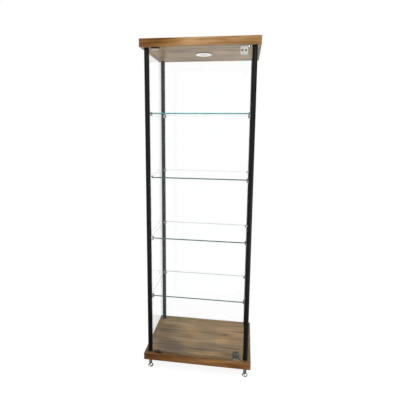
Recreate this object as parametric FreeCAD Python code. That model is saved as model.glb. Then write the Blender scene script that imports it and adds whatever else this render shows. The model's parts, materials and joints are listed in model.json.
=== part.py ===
import FreeCAD, Part
import math
import os

from FreeCAD import Placement, Rotation, Vector

# Free-standing glass display case: two walnut boards joined by four round posts, with glass
# on both sides and at the back, four glass shelves, a glass door, a ceiling spotlight and
# levelling feet. Millimetres, X to the right, Y to the back, Z up, origin on the floor under
# the middle of the case.

# Case
CASE_WIDTH = 600.0
CASE_DEPTH = 400.0
CASE_HEIGHT = 1800.0
FOOT_HEIGHT = 58.0
BOARD_THICKNESS = 40.0
BAND_THICKNESS = 1.5
BAND_CHAMFER = 0.8

# Posts: round extrusions with a screw core and a glazing channel beside it
POST_RADIUS = 12.5
POST_INSET = 30.0
POST_WALL = 1.8
CORE_RADIUS = 4.6
CORE_BORE_RADIUS = 3.1
CHANNEL_OFFSET = 7.0
CHANNEL_DEPTH = 9.0
CHANNEL_FLOOR = -1.0
CHANNEL_WALL = 1.2
POST_WEB = 7.0

# Fixed glass and its U-shaped gaskets
PANE_THICKNESS = 4.0
GASKET_WALL = 0.6
GROOVE_DEPTH = 6.0
GROOVE_PLAY = 0.2
PANE_TOP_PLAY = 1.0

# Shelves
SHELF_COUNT = 4
SHELF_PITCH = 335.0
SHELF_WIDTH = 530.0
SHELF_DEPTH = 330.0
SHELF_THICKNESS = 6.0
SHELF_CORNER = 16.0
GLASS_ARRIS = 0.6

# Shelf clamps, measured outwards from the post axis and from the middle of the shelf
CLAMP_WIDTH = 14.0
CLAMP_NOSE_CENTRE = 22.0
CLAMP_ABOVE = 7.6
CLAMP_BELOW = 14.0
CLAMP_SLOT_START = 17.0
CLAMP_PAD = 0.6
CLAMP_ROUNDING = 2.0
CLAMP_BOLT_DROP = 9.0
CLAMP_BOLT_TIP = 6.0
CLAMP_BOLT_SEAT = 18.0
CLAMP_BOLT_RADIUS = 2.0
CLAMP_BOLT_HEAD_RADIUS = 3.2
CLAMP_BOLT_HEAD = 3.0
CLAMP_BOLT_KEY = 2.5
CLAMP_GRUB_PLACE = 23.5
CLAMP_GRUB_RADIUS = 2.0
CLAMP_GRUB_KEY = 2.0

# Door and its two pivot hinges
DOOR_HALF_WIDTH = 253.0
DOOR_THICKNESS = 5.0
DOOR_Y = -180.0
DOOR_EDGE_GAP = 9.7
PIVOT_X = 241.0
HINGE_PLATE_LENGTH = 50.0
HINGE_PLATE_WIDTH = 18.0
HINGE_PLATE_THICKNESS = 3.0
HINGE_SCREW_SPACING = 19.0
HINGE_SCREW_FIRST = 14.0
PIN_RADIUS = 2.5
PIN_REACH = 4.8
BUSH_RADIUS = 4.0
BUSH_FLANGE_RADIUS = 5.5
BUSH_FLANGE = 0.8
BUSH_FLOOR = 1.0
BUSH_PLAY = 0.3
JAW_WIDTH = 36.0
JAW_HEIGHT = 36.0
JAW_CORNER = 5.0
JAW_OVERHANG = 5.0
EYE_HEIGHT = 5.0
BRIDGE_THICKNESS = 2.2
CHEEK_THICKNESS = 4.0
LINER_THICKNESS = 0.6
JAW_ROUNDING = 1.2
JAW_SCREW_RADIUS = 2.5
JAW_SCREW_HEAD_RADIUS = 4.6
JAW_SCREW_HEAD = 1.8
JAW_SCREW_CROWN = 0.8
JAW_SCREW_KEY = 3.0
JAW_SCREW_SPACING = 18.0
JAW_SCREW_DROP = 15.0

# Flat magnetic catches, the clip-on strikes that face them and the buffers that stop the door
CATCH_X = -222.0
CATCH_LENGTH = 46.0
CATCH_DEPTH = 18.0
CATCH_HEIGHT = 4.4
CATCH_SCREW_SPACING = 34.0
MAGNET_LENGTH = 24.0
MAGNET_WIDTH = 4.0
MAGNET_HEIGHT = 2.6
POLE_THICKNESS = 1.2
POLE_STAND = 0.2
STRIKE_LENGTH = 36.0
STRIKE_SHEET = 0.9
STRIKE_WEB = 4.0
STRIKE_LEG = 6.5
STRIKE_CORNER = 2.5
BUFFER_GAP = 0.3
BUFFER_LENGTH = 30.0
BUFFER_THICKNESS = 3.0
BUFFER_HEIGHT = 3.0

# Ceiling spotlight
TRIM_RADIUS = 50.0
TRIM_DROP = 4.0
TRIM_LIP = 3.0
TRIM_EDGE = 0.8
TRIM_TAPER = 0.8
LENS_RADIUS = 40.0
LENS_THICKNESS = 2.5
LENS_INSET = 0.4
LENS_DISH = 0.6
LENS_RIM = 4.0
CAN_RADIUS = 36.0
CAN_HEIGHT = 30.0
CAN_WALL = 1.5
CAN_CORNER = 3.0
CAN_INNER_CORNER = 2.1
LAMP_HOLE_RADIUS = 41.0
LAMP_HOLE_DEPTH = 34.0
LED_BOARD_RADIUS = 31.0
LED_BOARD_THICKNESS = 1.6
LED_COUNT = 12
LED_CIRCLE_RADIUS = 22.0
LED_SIZE = 3.0
LED_HEIGHT = 1.0
SPRING_WIDTH = 10.0
SPRING_SHEET = 0.8
SPRING_SLANT_SHEET = 1.2
SPRING_WALL_GAP = 0.3
SPRING_FOOT = 6.0
SPRING_BEND = 16.0
SPRING_KNEE = 21.0
SPRING_TIP = 26.0
GROMMET_RADIUS = 8.0
GROMMET_FLANGE = 1.5
GROMMET_NECK_RADIUS = 5.5
GROMMET_WALL = 1.5
GROMMET_MEMBRANE = 1.2
GROMMET_DIMPLE = 0.8
GROMMET_DIMPLE_RIM = 1.0

# Bolts through the boards into the posts
POST_BOLT_RADIUS = 3.0
POST_BOLT_LENGTH = 70.0
POST_BOLT_HEAD_RADIUS = 5.0
POST_BOLT_HEAD = 6.0
POST_BOLT_KEY = 5.0
BOLT_WELL_RADIUS = 7.0
BOLT_WELL_DEPTH = 12.0
COVER_CAP_THICKNESS = 3.0

# Levelling feet
FLANGE_RADIUS = 21.0
FLANGE_THICKNESS = 3.0
FLANGE_SCREWS = 3
FLANGE_SCREW_CIRCLE = 15.0
SLEEVE_RADIUS = 9.0
SLEEVE_BOTTOM = 24.0
SLEEVE_BORE_TOP = 53.0
SLEEVE_CHAMFER = 0.8
SLEEVE_FLARE = 3.0
STEM_RADIUS = 5.0
STEM_TOP = 50.0
STEM_CHAMFER = 1.0
BELL_TOP = 23.5
BELL_NECK = 2.0
BELL_TOP_RADIUS = 7.0
BELL_RADIUS = 15.0
BELL_RIM = 4.5
BELL_HOLLOW = 1.2
BELL_BOTTOM = 2.0
BELL_TAPER = 0.8
GLIDE_RADIUS = 12.0
GLIDE_RECESS = 1.5

# Wood screws, key holes in bolts and fits
WOOD_SCREW_RADIUS = 1.75
WOOD_SCREW_HEAD_RADIUS = 3.5
WOOD_SCREW_HEAD = 1.75
WOOD_SCREW_BITE = 13.0
CROSS_LENGTH = 3.6
CROSS_WIDTH = 0.8
CROSS_DEPTH = 1.2
KEY_DEPTH = 1.6
FIT_CLEARANCE = 0.05

# Levels and places that follow from the sizes above
BASE_BOTTOM = FOOT_HEIGHT
BASE_TOP = FOOT_HEIGHT + BOARD_THICKNESS
FLANGE_TOP = BASE_BOTTOM + FLANGE_THICKNESS
CEILING = CASE_HEIGHT - BOARD_THICKNESS
MID_HEIGHT = (BASE_TOP + CEILING) / 2
POST_X = CASE_WIDTH / 2 - POST_INSET
POST_Y = CASE_DEPTH / 2 - POST_INSET
SIDE_PANE_X = POST_X + CHANNEL_OFFSET
REAR_PANE_Y = POST_Y + CHANNEL_OFFSET
CHANNEL_WIDTH = PANE_THICKNESS + 2 * GASKET_WALL
DOOR_FRONT = DOOR_Y - DOOR_THICKNESS / 2
DOOR_REAR = DOOR_Y + DOOR_THICKNESS / 2
DOOR_TOP = CEILING - DOOR_EDGE_GAP
HINGE_PLATE_FACE = CEILING - HINGE_PLATE_THICKNESS
EYE_TOP = HINGE_PLATE_FACE - BUSH_PLAY - BUSH_FLANGE
BRIDGE_BOTTOM = EYE_TOP - EYE_HEIGHT
JAW_RIGHT = PIVOT_X - JAW_OVERHANG
JAW_X = JAW_RIGHT - JAW_WIDTH / 2
JAW_SLOT_HALF = DOOR_THICKNESS / 2 + LINER_THICKNESS
JAW_HALF = JAW_SLOT_HALF + CHEEK_THICKNESS
CATCH_FACE = CEILING - CATCH_HEIGHT
UP = Vector(0, 0, 1)
CORNERS = {
    "front_left": (-1, -1),
    "front_right": (1, -1),
    "rear_left": (-1, 1),
    "rear_right": (1, 1),
}


def box(x0, x1, y0, y1, z0, z1):
    """Block between two corners, given low and high along each axis."""
    return Part.makeBox(x1 - x0, y1 - y0, z1 - z0, Vector(x0, y0, z0))


def rod(radius, start, end):
    """Round bar from one point to another."""
    run = end - start
    return Part.makeCylinder(radius, run.Length, start, run)


def post_rod(radius, corner, z0, z1):
    """Upright round bar on the axis of one post."""
    sx, sy = CORNERS[corner]
    return rod(radius, Vector(sx * POST_X, sy * POST_Y, z0), Vector(sx * POST_X, sy * POST_Y, z1))


def polygon_face(points):
    """Flat face inside a closed run of points."""
    return Part.Face(Part.makePolygon(list(points) + [points[0]]))


def turned(points, centre):
    """Solid of revolution about an upright axis, from (radius, height) points."""
    face = polygon_face([Vector(r, 0, z) for r, z in points])
    solid = face.revolve(Vector(0, 0, 0), UP, 360)
    solid.translate(centre)
    return solid


def obround(length, width, height):
    """Plate with two round ends, standing on z = 0 and centred along X."""
    radius = width / 2
    half = length / 2 - radius
    ends = [
        Part.Arc(Vector(half, -radius, 0), Vector(half + radius, 0, 0), Vector(half, radius, 0)),
        Part.LineSegment(Vector(half, radius, 0), Vector(-half, radius, 0)),
        Part.Arc(Vector(-half, radius, 0), Vector(-half - radius, 0, 0), Vector(-half, -radius, 0)),
        Part.LineSegment(Vector(-half, -radius, 0), Vector(half, -radius, 0)),
    ]
    wire = Part.Wire([edge.toShape() for edge in ends])
    return Part.Face(wire).extrude(UP * height)


def moved(shape, x, y, z):
    """Copy of a shape, shifted."""
    copy = shape.copy()
    copy.translate(Vector(x, y, z))
    return copy


def at_bottom(shape):
    """Mirror image of a piece under the ceiling, on the base board."""
    return shape.mirror(Vector(0, 0, MID_HEIGHT), UP)


def wood_screw(point, length, clearance=0.0):
    """Countersunk screw that runs up from its head at point; with clearance, its hole."""
    wide = WOOD_SCREW_HEAD_RADIUS + clearance
    narrow = WOOD_SCREW_RADIUS + clearance
    head = Part.makeCone(wide, narrow, WOOD_SCREW_HEAD, point, UP)
    shank = rod(narrow, point, point + UP * (length + clearance))
    body = head.fuse(shank).removeSplitter()
    if clearance:
        return body
    long = CROSS_LENGTH / 2
    short = CROSS_WIDTH / 2
    slots = [
        box(-long, long, -short, short, 0, CROSS_DEPTH),
        box(-short, short, -long, long, 0, CROSS_DEPTH),
    ]
    return body.cut([moved(slot, point.x, point.y, point.z) for slot in slots])


def key_hole(mouth, inwards, across):
    """Hexagonal hole for a key, from its mouth inwards, given its width across flats."""
    radius = across / math.sqrt(3)
    angles = [math.radians(60 * i) for i in range(6)]
    outline = polygon_face([Vector(radius * math.cos(a), radius * math.sin(a), 0) for a in angles])
    prism = outline.extrude(UP * KEY_DEPTH)
    prism.Placement = Placement(mouth, Rotation(UP, inwards))
    return prism


def disc_face(radius):
    """Flat round face about the origin."""
    return Part.Face(Part.Wire(Part.makeCircle(radius)))


def post_section(corner):
    """Face of the post extrusion: round tube, screw core, glazing channels and a web."""
    sx, sy = CORNERS[corner]

    def upright(u0, u1, v0, v1):
        """Rectangle for the side pane: u runs outwards along X, v towards the other post."""
        return polygon_face([
            Vector(sx * u0, -sy * v0, 0),
            Vector(sx * u1, -sy * v0, 0),
            Vector(sx * u1, -sy * v1, 0),
            Vector(sx * u0, -sy * v1, 0),
        ])

    def across(u0, u1, v0, v1):
        """Rectangle for the rear pane: u runs to the back, v towards the other rear post."""
        return polygon_face([
            Vector(-sx * v0, u0, 0),
            Vector(-sx * v0, u1, 0),
            Vector(-sx * v1, u1, 0),
            Vector(-sx * v1, u0, 0),
        ])

    near = CHANNEL_OFFSET - CHANNEL_WIDTH / 2
    far = CHANNEL_OFFSET + CHANNEL_WIDTH / 2
    floor = CHANNEL_FLOOR
    wall = CHANNEL_WALL
    channels = [upright]
    if sy > 0:
        channels.append(across)
    inwards = math.degrees(math.atan2(-sy, -sx))
    web = polygon_face([
        Vector(0, -POST_WEB / 2, 0),
        Vector(POST_RADIUS, -POST_WEB / 2, 0),
        Vector(POST_RADIUS, POST_WEB / 2, 0),
        Vector(0, POST_WEB / 2, 0),
    ])
    web.rotate(Vector(0, 0, 0), UP, inwards)
    hollow = disc_face(POST_RADIUS - POST_WALL).cut(disc_face(CORE_RADIUS)).cut(web)
    for channel in channels:
        hollow = hollow.cut(channel(near - wall, far + wall, floor - wall, POST_RADIUS))
    section = disc_face(POST_RADIUS).cut(hollow).cut(disc_face(CORE_BORE_RADIUS))
    for channel in channels:
        section = section.cut(channel(near, far, floor, POST_RADIUS))
    return section


def post(corner):
    """Post extrusion with the holes for its shelf clamps."""
    sx, sy = CORNERS[corner]
    solid = post_section(corner).extrude(UP * (CEILING - BASE_TOP))
    solid.translate(Vector(sx * POST_X, sy * POST_Y, BASE_TOP))
    holes = [
        at_shelf_corner(clamp_bolt(FIT_CLEARANCE), corner, level) for level in shelf_levels()
    ]
    return solid.cut(holes)


def shelf_levels():
    """Heights of the middles of the shelves, lowest first."""
    return [BASE_TOP + SHELF_PITCH * (i + 1) for i in range(SHELF_COUNT)]


def at_shelf_corner(shape, corner, level):
    """Place a clamp piece, drawn along +X from the post axis, on one post at one shelf."""
    sx, sy = CORNERS[corner]
    turn = Rotation(UP, math.degrees(math.atan2(-sy, -sx)))
    copy = shape.copy()
    copy.Placement = Placement(Vector(sx * POST_X, sy * POST_Y, level), turn)
    return copy


def shelf_edge():
    """Distance from the post axis to the cut corner of a shelf."""
    gap_x = POST_X - SHELF_WIDTH / 2
    gap_y = POST_Y - SHELF_DEPTH / 2
    return (gap_x + gap_y + SHELF_CORNER) / math.sqrt(2)


def clamp_block(z0, z1):
    """Clamp outline seen from above: a round nose that grows out of the post."""
    half = CLAMP_WIDTH / 2
    nose = CLAMP_NOSE_CENTRE
    edges = [
        Part.LineSegment(Vector(0, half, z0), Vector(0, -half, z0)),
        Part.LineSegment(Vector(0, -half, z0), Vector(nose, -half, z0)),
        Part.Arc(Vector(nose, -half, z0), Vector(nose + half, 0, z0), Vector(nose, half, z0)),
        Part.LineSegment(Vector(nose, half, z0), Vector(0, half, z0)),
    ]
    wire = Part.Wire([edge.toShape() for edge in edges])
    return Part.Face(wire).extrude(UP * (z1 - z0))


def clamp_slot():
    """Space in the clamp for the shelf and its liner."""
    half = SHELF_THICKNESS / 2 + CLAMP_PAD
    reach = CLAMP_NOSE_CENTRE + CLAMP_WIDTH
    return box(CLAMP_SLOT_START, reach, -CLAMP_WIDTH, CLAMP_WIDTH, -half, half)


def clamp_bolt(clearance=0.0):
    """Bolt that draws the clamp against the post; with clearance, its hole."""
    tip = Vector(CLAMP_BOLT_TIP - clearance, 0, -CLAMP_BOLT_DROP)
    seat = Vector(CLAMP_BOLT_SEAT, 0, -CLAMP_BOLT_DROP)
    end = seat + Vector(CLAMP_BOLT_HEAD, 0, 0)
    head = rod(CLAMP_BOLT_HEAD_RADIUS + clearance, seat, end)
    shank = rod(CLAMP_BOLT_RADIUS + clearance, tip, seat)
    body = shank.fuse(head).removeSplitter()
    if clearance:
        return body
    return body.cut(key_hole(end, Vector(-1, 0, 0), CLAMP_BOLT_KEY))


def clamp_grub(clearance=0.0):
    """Grub screw in the upper jaw that presses on the liner; with clearance, its hole."""
    low = Vector(CLAMP_GRUB_PLACE, 0, SHELF_THICKNESS / 2 + CLAMP_PAD)
    high = Vector(CLAMP_GRUB_PLACE, 0, CLAMP_ABOVE)
    body = rod(CLAMP_GRUB_RADIUS + clearance, low, high)
    if clearance:
        return body
    return body.cut(key_hole(high, -UP, CLAMP_GRUB_KEY))


def clamp_body():
    """Cast clamp with its saddle on the post, shelf slot, bolt well and rounded ends."""
    body = clamp_block(-CLAMP_BELOW, CLAMP_ABOVE)
    ends = [
        edge for edge in body.Edges if edge.BoundBox.ZLength < CLAMP_PAD and edge.BoundBox.XMax > CLAMP_PAD
    ]
    body = body.makeFillet(CLAMP_ROUNDING, ends)
    saddle = rod(POST_RADIUS, Vector(0, 0, -CLAMP_BELOW), Vector(0, 0, CLAMP_ABOVE))
    well_start = Vector(CLAMP_BOLT_SEAT, 0, -CLAMP_BOLT_DROP)
    well_end = Vector(CLAMP_NOSE_CENTRE + CLAMP_WIDTH, 0, -CLAMP_BOLT_DROP)
    well = rod(CLAMP_BOLT_HEAD_RADIUS + FIT_CLEARANCE, well_start, well_end)
    return body.cut([saddle, clamp_slot(), clamp_bolt(FIT_CLEARANCE), well, clamp_grub(FIT_CLEARANCE)])


def clamp_liner():
    """Soft U-shaped liner between the clamp and the shelf."""
    half = SHELF_THICKNESS / 2
    reach = CLAMP_NOSE_CENTRE + CLAMP_WIDTH
    shelf_part = box(shelf_edge(), reach, -CLAMP_WIDTH, CLAMP_WIDTH, -half, half)
    return clamp_block(-CLAMP_BELOW, CLAMP_ABOVE).common(clamp_slot()).cut(shelf_part)


def shelf(level):
    """Glass shelf with cut corners that clear the posts."""
    x = SHELF_WIDTH / 2
    y = SHELF_DEPTH / 2
    c = SHELF_CORNER
    z = level - SHELF_THICKNESS / 2
    right = [(x - c, -y), (x, c - y), (x, y - c), (x - c, y)]
    left = [(-px, py) for px, py in reversed(right)]
    plate = polygon_face([Vector(px, py, z) for px, py in right + left]).extrude(UP * SHELF_THICKNESS)
    rims = [edge for edge in plate.Edges if edge.BoundBox.ZLength < GLASS_ARRIS]
    return plate.makeChamfer(GLASS_ARRIS, rims)


def edge_bands(z0):
    """Four strips round a board, each with its outer edges eased."""
    z1 = z0 + BOARD_THICKNESS
    t = BAND_THICKNESS
    c = BAND_CHAMFER
    section = [(0, z0), (t - c, z0), (t, z0 + c), (t, z1 - c), (t - c, z1), (0, z1)]
    x = CASE_WIDTH / 2
    y = CASE_DEPTH / 2 - t
    front_face = polygon_face([Vector(-x, -y - d, z) for d, z in section])
    left_face = polygon_face([Vector(t - x - d, -y, z) for d, z in section])
    front = front_face.extrude(Vector(2 * x, 0, 0))
    left = left_face.extrude(Vector(0, 2 * y, 0))
    rear = front.mirror(Vector(0, 0, 0), Vector(0, 1, 0))
    right = left.mirror(Vector(0, 0, 0), Vector(1, 0, 0))
    return group([front, rear, left, right])


def board_core(z0):
    """Board inside its edge bands."""
    x = CASE_WIDTH / 2 - BAND_THICKNESS
    y = CASE_DEPTH / 2 - BAND_THICKNESS
    return box(-x, x, -y, y, z0, z0 + BOARD_THICKNESS)


def pane_grooves(z0, z1):
    """Grooves that take the lower or upper edges of the three fixed panes."""
    half = PANE_THICKNESS / 2 + GROOVE_PLAY
    grooves = [
        box(sx * SIDE_PANE_X - half, sx * SIDE_PANE_X + half, -POST_Y, POST_Y, z0, z1) for sx in (-1, 1)
    ]
    grooves.append(box(-POST_X, POST_X, REAR_PANE_Y - half, REAR_PANE_Y + half, z0, z1))
    return grooves


def base_board():
    """Lower board with grooves, bolt wells, screw holes and seats for the feet."""
    cuts = pane_grooves(BASE_TOP - GROOVE_DEPTH, BASE_TOP)
    for corner in CORNERS:
        cuts.append(post_rod(FLANGE_RADIUS + FIT_CLEARANCE, corner, BASE_BOTTOM, FLANGE_TOP))
        cuts.append(post_rod(BOLT_WELL_RADIUS, corner, BASE_BOTTOM, BASE_BOTTOM + BOLT_WELL_DEPTH))
        cuts.append(post_rod(POST_BOLT_RADIUS + FIT_CLEARANCE, corner, BASE_BOTTOM, BASE_TOP))
        cuts.extend(flange_screws(corner, FIT_CLEARANCE))
    cuts.extend(at_bottom(screw) for screw in ceiling_screws(FIT_CLEARANCE))
    return board_core(BASE_BOTTOM).cut(cuts)


def top_board():
    """Upper board with grooves, bolt wells, screw holes and the spotlight's recess."""
    cuts = pane_grooves(CEILING, CEILING + GROOVE_DEPTH + PANE_TOP_PLAY)
    for corner in CORNERS:
        cuts.append(post_rod(BOLT_WELL_RADIUS, corner, CASE_HEIGHT - BOLT_WELL_DEPTH, CASE_HEIGHT))
        cuts.append(post_rod(POST_BOLT_RADIUS + FIT_CLEARANCE, corner, CEILING, CASE_HEIGHT))
    cuts.extend(ceiling_screws(FIT_CLEARANCE))
    recess_top = UP * (CEILING + LAMP_HOLE_DEPTH)
    flange_seat = UP * (CASE_HEIGHT - GROMMET_FLANGE)
    cuts.append(rod(LAMP_HOLE_RADIUS, UP * CEILING, recess_top))
    cuts.append(rod(GROMMET_NECK_RADIUS, recess_top, UP * CASE_HEIGHT))
    cuts.append(rod(GROMMET_RADIUS, flange_seat, UP * CASE_HEIGHT))
    return board_core(CEILING).cut(cuts)


def side_pane(side):
    """Fixed glass between a front post and a rear post."""
    x = side * SIDE_PANE_X
    half = PANE_THICKNESS / 2
    return box(x - half, x + half, -POST_Y, POST_Y, BASE_TOP - GROOVE_DEPTH, CEILING + GROOVE_DEPTH)


def rear_pane():
    """Fixed glass between the rear posts."""
    half = PANE_THICKNESS / 2
    y = REAR_PANE_Y
    return box(-POST_X, POST_X, y - half, y + half, BASE_TOP - GROOVE_DEPTH, CEILING + GROOVE_DEPTH)


def pane_gaskets():
    """U-shaped gaskets round the upright edges of the three panes, inside the post channels."""
    half = CHANNEL_WIDTH / 2
    lip = CHANNEL_FLOOR + CHANNEL_DEPTH
    x = SIDE_PANE_X
    y = REAR_PANE_Y
    side = box(x - half, x + half, POST_Y - lip, POST_Y - CHANNEL_FLOOR, BASE_TOP, CEILING)
    rear = box(POST_X - lip, POST_X - CHANNEL_FLOOR, y - half, y + half, BASE_TOP, CEILING)
    side = side.cut(side_pane(1))
    right = [side, side.mirror(Vector(0, 0, 0), Vector(0, 1, 0)), rear.cut(rear_pane())]
    left = [gasket.mirror(Vector(0, 0, 0), Vector(1, 0, 0)) for gasket in right]
    return group(right + left)


def door_glass():
    """Glass door with eased edges."""
    bottom = BASE_TOP + DOOR_EDGE_GAP
    plate = box(-DOOR_HALF_WIDTH, DOOR_HALF_WIDTH, DOOR_FRONT, DOOR_REAR, bottom, DOOR_TOP)
    rims = [edge for edge in plate.Edges if edge.BoundBox.YLength < GLASS_ARRIS]
    return plate.makeChamfer(GLASS_ARRIS, rims)


def hinge_plate():
    """Upper hinge plate with its pivot hole and countersunk screw holes."""
    centre = PIVOT_X + HINGE_PLATE_WIDTH / 2 - HINGE_PLATE_LENGTH / 2
    plate = obround(HINGE_PLATE_LENGTH, HINGE_PLATE_WIDTH, HINGE_PLATE_THICKNESS)
    plate = moved(plate, centre, DOOR_Y, HINGE_PLATE_FACE)
    hole_bottom = Vector(PIVOT_X, DOOR_Y, HINGE_PLATE_FACE)
    pin_hole = rod(PIN_RADIUS + FIT_CLEARANCE, hole_bottom, Vector(PIVOT_X, DOOR_Y, CEILING))
    return plate.cut([pin_hole] + hinge_screws(FIT_CLEARANCE))


def hinge_screws(clearance=0.0):
    """Two wood screws that hold the upper hinge plate."""
    length = HINGE_PLATE_THICKNESS + WOOD_SCREW_BITE
    places = [HINGE_SCREW_FIRST, HINGE_SCREW_FIRST + HINGE_SCREW_SPACING]
    return [
        wood_screw(Vector(PIVOT_X - place, DOOR_Y, HINGE_PLATE_FACE), length, clearance)
        for place in places
    ]


def catch_screws(clearance=0.0):
    """Two wood screws that hold the upper catch."""
    length = CATCH_HEIGHT + WOOD_SCREW_BITE
    places = [CATCH_X - CATCH_SCREW_SPACING / 2, CATCH_X + CATCH_SCREW_SPACING / 2]
    return [wood_screw(Vector(x, DOOR_Y, CATCH_FACE), length, clearance) for x in places]


def ceiling_screws(clearance):
    """All wood screws that enter the ceiling, for drilling their holes."""
    return hinge_screws(clearance) + catch_screws(clearance)


def hinge_pin():
    """Steel pivot pin fixed in the upper hinge plate."""
    tip = HINGE_PLATE_FACE - PIN_REACH
    return rod(PIN_RADIUS, Vector(PIVOT_X, DOOR_Y, tip), Vector(PIVOT_X, DOOR_Y, CEILING))


def hinge_bush():
    """Flanged bush that turns on the upper pin."""
    bore = PIN_RADIUS + FIT_CLEARANCE
    body = BUSH_RADIUS - FIT_CLEARANCE
    bottom = BRIDGE_BOTTOM + BUSH_FLOOR
    top = EYE_TOP + BUSH_FLANGE
    points = [
        (bore, bottom),
        (body, bottom),
        (body, EYE_TOP),
        (BUSH_FLANGE_RADIUS, EYE_TOP),
        (BUSH_FLANGE_RADIUS, top),
        (bore, top),
    ]
    return turned(points, Vector(PIVOT_X, DOOR_Y, 0))


def jaw_outline(y0, y1):
    """Jaw block seen from the front: square at the glass edge, with rounded corners below."""
    half = JAW_WIDTH / 2
    block = box(JAW_X - half, JAW_X + half, y0, y1, BRIDGE_BOTTOM - JAW_HEIGHT, BRIDGE_BOTTOM)
    corners = [
        edge
        for edge in block.Edges
        if edge.BoundBox.YLength > JAW_SLOT_HALF and edge.BoundBox.ZMax < BRIDGE_BOTTOM - JAW_CORNER
    ]
    return block.makeFillet(JAW_CORNER, corners)


def jaw_screws(clearance=0.0):
    """Two screws in the front cheek of the upper hinge clamp; with clearance, their holes."""
    inwards = Vector(0, 1, 0)
    half = JAW_SCREW_SPACING / 2
    screws = []
    for x in (JAW_X - half, JAW_X + half):
        seat = Vector(x, DOOR_Y - JAW_HALF, BRIDGE_BOTTOM - JAW_SCREW_DROP)
        shank = rod(JAW_SCREW_RADIUS + clearance, seat, seat + inwards * CHEEK_THICKNESS)
        if clearance:
            screws.append(shank)
            continue
        end = seat - inwards * JAW_SCREW_HEAD
        head = rod(JAW_SCREW_HEAD_RADIUS, seat, end)
        rim = [edge for edge in head.Edges if edge.BoundBox.YMax < seat.y - JAW_SCREW_CROWN]
        crowned = head.makeChamfer(JAW_SCREW_CROWN, rim)
        screws.append(crowned.fuse(shank).cut(key_hole(end, inwards, JAW_SCREW_KEY)))
    return screws


def hinge_clamp():
    """Cast clamp of the upper hinge: two cheeks and a low bridge to the eye at the pivot."""
    y0 = DOOR_Y - JAW_HALF
    y1 = DOOR_Y + JAW_HALF
    jaws = jaw_outline(y0, y1)
    left_end = JAW_X - JAW_WIDTH / 2
    bridge = box(left_end, PIVOT_X, y0, y1, BRIDGE_BOTTOM, BRIDGE_BOTTOM + BRIDGE_THICKNESS)
    eye = rod(JAW_HALF, Vector(PIVOT_X, DOOR_Y, BRIDGE_BOTTOM), Vector(PIVOT_X, DOOR_Y, EYE_TOP))
    body = jaws.fuse([bridge, eye]).removeSplitter()
    rims = [
        edge
        for edge in body.Edges
        if edge.BoundBox.YLength < JAW_ROUNDING and edge.BoundBox.ZMin < BRIDGE_BOTTOM - JAW_ROUNDING
    ]
    body = body.makeFillet(JAW_ROUNDING, rims)
    slot = door_strip(JAW_SLOT_HALF, BRIDGE_BOTTOM)
    bore_bottom = Vector(PIVOT_X, DOOR_Y, BRIDGE_BOTTOM + BUSH_FLOOR)
    bore = rod(BUSH_RADIUS, bore_bottom, Vector(PIVOT_X, DOOR_Y, EYE_TOP))
    return body.cut([slot, bore] + jaw_screws(FIT_CLEARANCE))


def door_strip(half, top):
    """Wide block in the plane of the door, up to the given height, for cutting slots."""
    return box(-CASE_WIDTH, CASE_WIDTH, DOOR_Y - half, DOOR_Y + half, MID_HEIGHT, top)


def hinge_liner():
    """U-shaped rubber liner between the clamp and the door glass."""
    liner = jaw_outline(DOOR_Y - JAW_SLOT_HALF, DOOR_Y + JAW_SLOT_HALF)
    return liner.cut(door_strip(DOOR_THICKNESS / 2, DOOR_TOP))


def magnet_block(y0, y1, z0):
    """Block as long as the magnet, from z0 up to the roof of the upper catch's pocket."""
    half = MAGNET_LENGTH / 2
    top = CATCH_FACE + MAGNET_HEIGHT
    return box(CATCH_X - half, CATCH_X + half, DOOR_Y + y0, DOOR_Y + y1, z0, top)


def catch_housing():
    """Moulded body of the upper catch, over the edge of the door, with a pocket for the magnet."""
    body = obround(CATCH_LENGTH, CATCH_DEPTH, CATCH_HEIGHT)
    body = moved(body, CATCH_X, DOOR_Y, CATCH_FACE)
    half = MAGNET_WIDTH / 2 + POLE_THICKNESS
    return body.cut([magnet_block(-half, half, CATCH_FACE)] + catch_screws(FIT_CLEARANCE))


def catch_magnet():
    """Magnet of the upper catch."""
    return magnet_block(-MAGNET_WIDTH / 2, MAGNET_WIDTH / 2, CATCH_FACE)


def catch_poles():
    """Steel pole plates before and behind the magnet of the upper catch."""
    near = MAGNET_WIDTH / 2
    far = near + POLE_THICKNESS
    low = CATCH_FACE - POLE_STAND
    return [magnet_block(-far, -near, low), magnet_block(near, far, low)]


def strike():
    """Steel clip over the upper edge of the door, with a thick web that the catch pulls."""
    t = STRIKE_SHEET
    foot = DOOR_TOP - STRIKE_LEG
    section = [
        (DOOR_FRONT - t, foot),
        (DOOR_FRONT - t, DOOR_TOP + STRIKE_WEB),
        (DOOR_REAR + t, DOOR_TOP + STRIKE_WEB),
        (DOOR_REAR + t, foot),
        (DOOR_REAR, foot),
        (DOOR_REAR, DOOR_TOP),
        (DOOR_FRONT, DOOR_TOP),
        (DOOR_FRONT, foot),
    ]
    x = CATCH_X - STRIKE_LENGTH / 2
    clip = polygon_face([Vector(x, y, z) for y, z in section]).extrude(Vector(STRIKE_LENGTH, 0, 0))
    corners = [
        edge for edge in clip.Edges if edge.BoundBox.XLength < t / 2 and edge.BoundBox.ZMax < foot + t / 2
    ]
    return clip.makeFillet(STRIKE_CORNER, corners)


def buffer():
    """Rubber strip under the upper catch that the strike meets when the door is shut."""
    half = BUFFER_LENGTH / 2
    y = DOOR_REAR + STRIKE_SHEET + BUFFER_GAP
    return box(
        CATCH_X - half, CATCH_X + half, y, y + BUFFER_THICKNESS, CATCH_FACE - BUFFER_HEIGHT, CATCH_FACE
    )


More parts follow.
